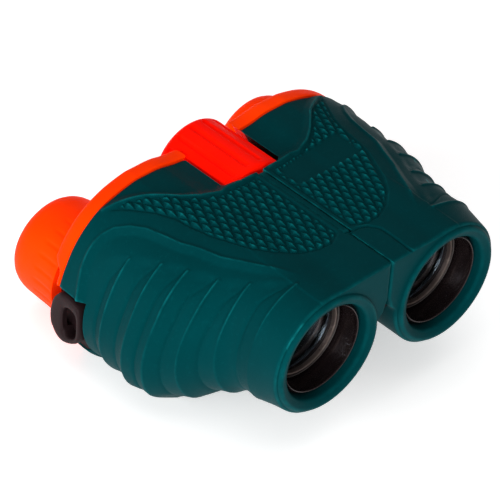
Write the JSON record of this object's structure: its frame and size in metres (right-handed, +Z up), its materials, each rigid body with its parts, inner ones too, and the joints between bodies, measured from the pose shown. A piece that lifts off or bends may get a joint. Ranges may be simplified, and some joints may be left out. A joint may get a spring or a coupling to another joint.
{
  "type": "compact binoculars",
  "caption": "Compact reverse-Porro binoculars: teal halves folding on a central hinge, orange focus wheel, eyecups and rear plates, strap lugs.",
  "frame": {"origin": "centre of the underside: on the seam plane, halfway between the barrel rims and the eyecup ends, at the height the binoculars rest on", "axes": "+X towards the user's left half, +Y from the objectives towards the eyes, +Z up from the underside to the top"},
  "size_m": [0.102, 0.0864, 0.0454],
  "materials": {
    "teal_rubber": "satin soft-touch",
    "orange_rubber": "satin",
    "black_plastic": "matte",
    "black_aluminium": "black anodised",
    "brass": "dull",
    "spring_steel": "satin",
    "glass": "polished",
    "coated_glass": "polished and coated"
  },
  "bodies": {
    "right_half": {"right_body_shell": "teal_rubber", "right_rear_plate": "orange_rubber", "right_strap_lug": "black_plastic", "right_objective_sleeve": "black_plastic", "right_prism_shelf": "black_plastic", "right_rear_prism": "glass", "right_front_prism": "glass", "right_rear_prism_clip": "spring_steel", "right_front_prism_clip": "spring_steel", "front_hinge_pin": "spring_steel", "rear_hinge_bush": "spring_steel", "centre_strip": "teal_rubber"},
    "left_half": {"left_body_shell": "teal_rubber", "left_rear_plate": "orange_rubber", "left_strap_lug": "black_plastic", "left_objective_sleeve": "black_plastic", "left_prism_shelf": "black_plastic", "left_rear_prism": "glass", "left_front_prism": "glass", "left_rear_prism_clip": "spring_steel", "left_front_prism_clip": "spring_steel", "left_eyepiece_barrel": "black_plastic", "left_field_lens": "glass", "left_eye_lens_ring": "black_plastic", "left_eye_lens": "glass", "left_eyecup": "orange_rubber"},
    "focus_wheel": {"focus_wheel": "orange_rubber", "focus_screw": "spring_steel", "focus_wheel_screw": "spring_steel"},
    "right_focus": {"focus_carriage": "brass", "carriage_retaining_ring": "spring_steel", "right_objective_cell": "black_aluminium", "right_objective_lens": "coated_glass", "right_objective_ring": "brass"},
    "left_focus": {"left_focus_arm": "brass", "left_objective_cell": "black_aluminium", "left_objective_lens": "coated_glass", "left_objective_ring": "brass"},
    "right_eyecup": {"right_eyecup": "orange_rubber"},
    "right_ocular": {"right_eyepiece_barrel": "black_plastic", "right_field_lens": "glass", "right_eye_lens_ring": "black_plastic", "right_eye_lens": "glass"}
  },
  "joints": [
    {"name": "fold_hinge", "type": "hinge", "parent": "right_half", "child": "left_half", "pos_m": [0, -0.0182, 0.0332], "axis": [0, 1, 0], "range_deg": [0, 32]},
    {"name": "focus_spin", "type": "hinge", "parent": "right_half", "child": "focus_wheel", "pos_m": [0, 0.0168, 0.0332], "axis": [0, 1, 0], "range_deg": [-130, 345]},
    {"name": "right_focus_slide", "type": "slide", "parent": "right_half", "child": "right_focus", "axis": [0, -1, 0], "range_m": [-0.0009, 0.00239]},
    {"name": "left_focus_slide", "type": "slide", "parent": "left_half", "child": "left_focus", "axis": [0, -1, 0], "range_m": [-0.0009, 0.00239]},
    {"name": "dioptre_turn", "type": "hinge", "parent": "right_half", "child": "right_eyecup", "pos_m": [-0.0341, 0.0328, 0.0164], "axis": [0, 1, 0], "range_deg": [-40, 40]},
    {"name": "dioptre_slide", "type": "slide", "parent": "right_half", "child": "right_ocular", "axis": [0, 1, 0], "range_m": [-0.00118, 0.00118]}
  ],
  "couplings": [
    {"joint": "focus_spin", "follows": "right_focus_slide", "rad_per_m": 2513.2},
    {"joint": "left_focus_slide", "follows": "right_focus_slide", "ratio": 1},
    {"joint": "dioptre_turn", "follows": "dioptre_slide", "rad_per_m": 588.2}
  ]
}
